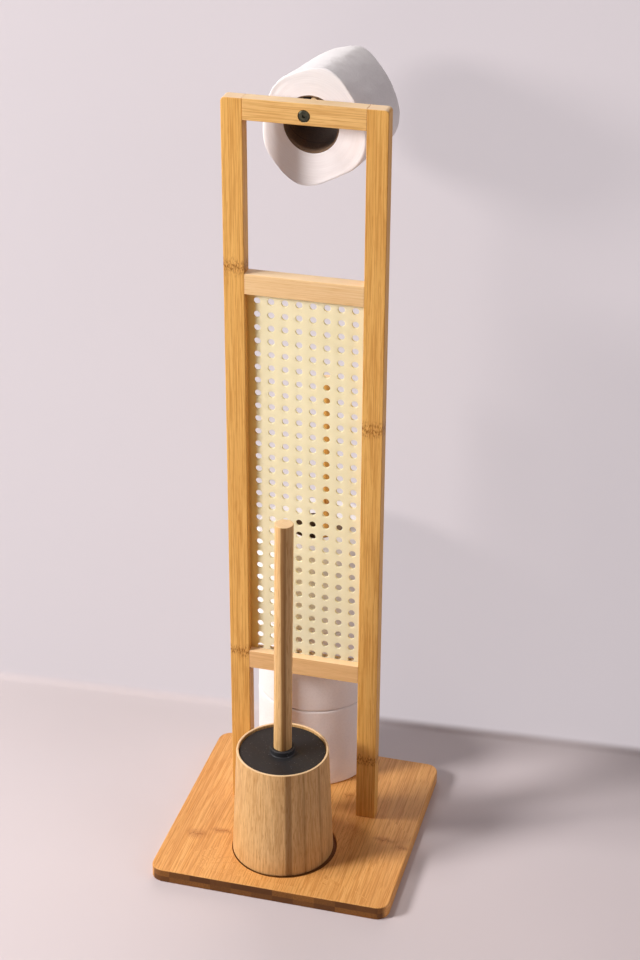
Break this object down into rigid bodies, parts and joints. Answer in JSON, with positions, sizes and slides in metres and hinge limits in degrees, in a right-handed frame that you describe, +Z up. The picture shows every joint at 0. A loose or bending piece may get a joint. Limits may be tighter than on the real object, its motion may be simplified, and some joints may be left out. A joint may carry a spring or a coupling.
{
  "type": "toilet paper and brush stand",
  "caption": "Free-standing bamboo stand with a perforated panel, an arm for the toilet roll in use, a rod for spare rolls and a lidded brush in a tapered cup.",
  "frame": {"origin": "on the floor, under the middle of the base board's underside", "axes": "+Z up, +Y to the back, where the rolls are, +X to the right as seen from the front"},
  "size_m": [0.24, 0.2905, 0.7783],
  "materials": {
    "bamboo_board": "satin",
    "bamboo_bar": "satin",
    "bamboo_dowel": "satin",
    "bamboo_pale": "satin",
    "cane_plastic": "satin",
    "black_plastic": "matte",
    "black_steel": "satin",
    "zinc_steel": "satin",
    "brass": "satin",
    "bristle": "matte",
    "core_board": "matte",
    "tissue": "matte"
  },
  "bodies": {
    "stand": {"base_board": "bamboo_board", "base_bolts": "black_steel", "base_inserts": "brass", "left_post": "bamboo_bar", "right_post": "bamboo_bar", "top_rail": "bamboo_bar", "upper_rail": "bamboo_bar", "lower_rail": "bamboo_bar", "rail_dowels": "bamboo_dowel", "perforated_panel": "cane_plastic", "roll_arm": "bamboo_dowel", "arm_bolt": "black_steel", "arm_insert": "brass", "spare_rod": "bamboo_dowel"},
    "used_roll": {"used_roll_core": "core_board", "used_roll_paper": "tissue"},
    "cup": {"cup_sleeve": "bamboo_pale"},
    "bucket": {"cup_liner": "black_plastic"},
    "brush": {"brush_lid": "black_plastic", "brush_handle": "bamboo_pale", "handle_stud": "zinc_steel", "brush_stem": "black_plastic", "brush_head": "black_plastic", "bristles": "bristle"},
    "spare_roll_bottom": {"spare_roll_core_bottom": "core_board", "spare_roll_paper_bottom": "tissue"},
    "spare_roll_middle": {"spare_roll_core_middle": "core_board", "spare_roll_paper_middle": "tissue"},
    "spare_roll_top": {"spare_roll_core_top": "core_board", "spare_roll_paper_top": "tissue"}
  },
  "joints": [
    {"name": "used_roll_spin", "type": "hinge", "parent": "stand", "child": "used_roll", "pos_m": [0.001, 0.0952, 0.72697], "axis": [0.0872, 0.9962, 0], "continuous": true},
    {"name": "cup_lift", "type": "slide", "parent": "stand", "child": "cup", "axis": [0, 0, 1], "range_m": [0, 0.1]},
    {"name": "bucket_lift", "type": "slide", "parent": "cup", "child": "bucket", "axis": [0, 0, 1], "range_m": [0, 0.13]},
    {"name": "brush_lift", "type": "slide", "parent": "bucket", "child": "brush", "axis": [0, 0, 1], "range_m": [0, 0.25]},
    {"name": "spare_roll_bottom_lift", "type": "slide", "parent": "stand", "child": "spare_roll_bottom", "axis": [0, 0, 1], "range_m": [0, 0.05]},
    {"name": "spare_roll_middle_lift", "type": "slide", "parent": "spare_roll_bottom", "child": "spare_roll_middle", "axis": [0, 0, 1], "range_m": [0, 0.05]},
    {"name": "spare_roll_top_lift", "type": "slide", "parent": "spare_roll_middle", "child": "spare_roll_top", "axis": [0, 0, 1], "range_m": [0, 0.27]}
  ]
}
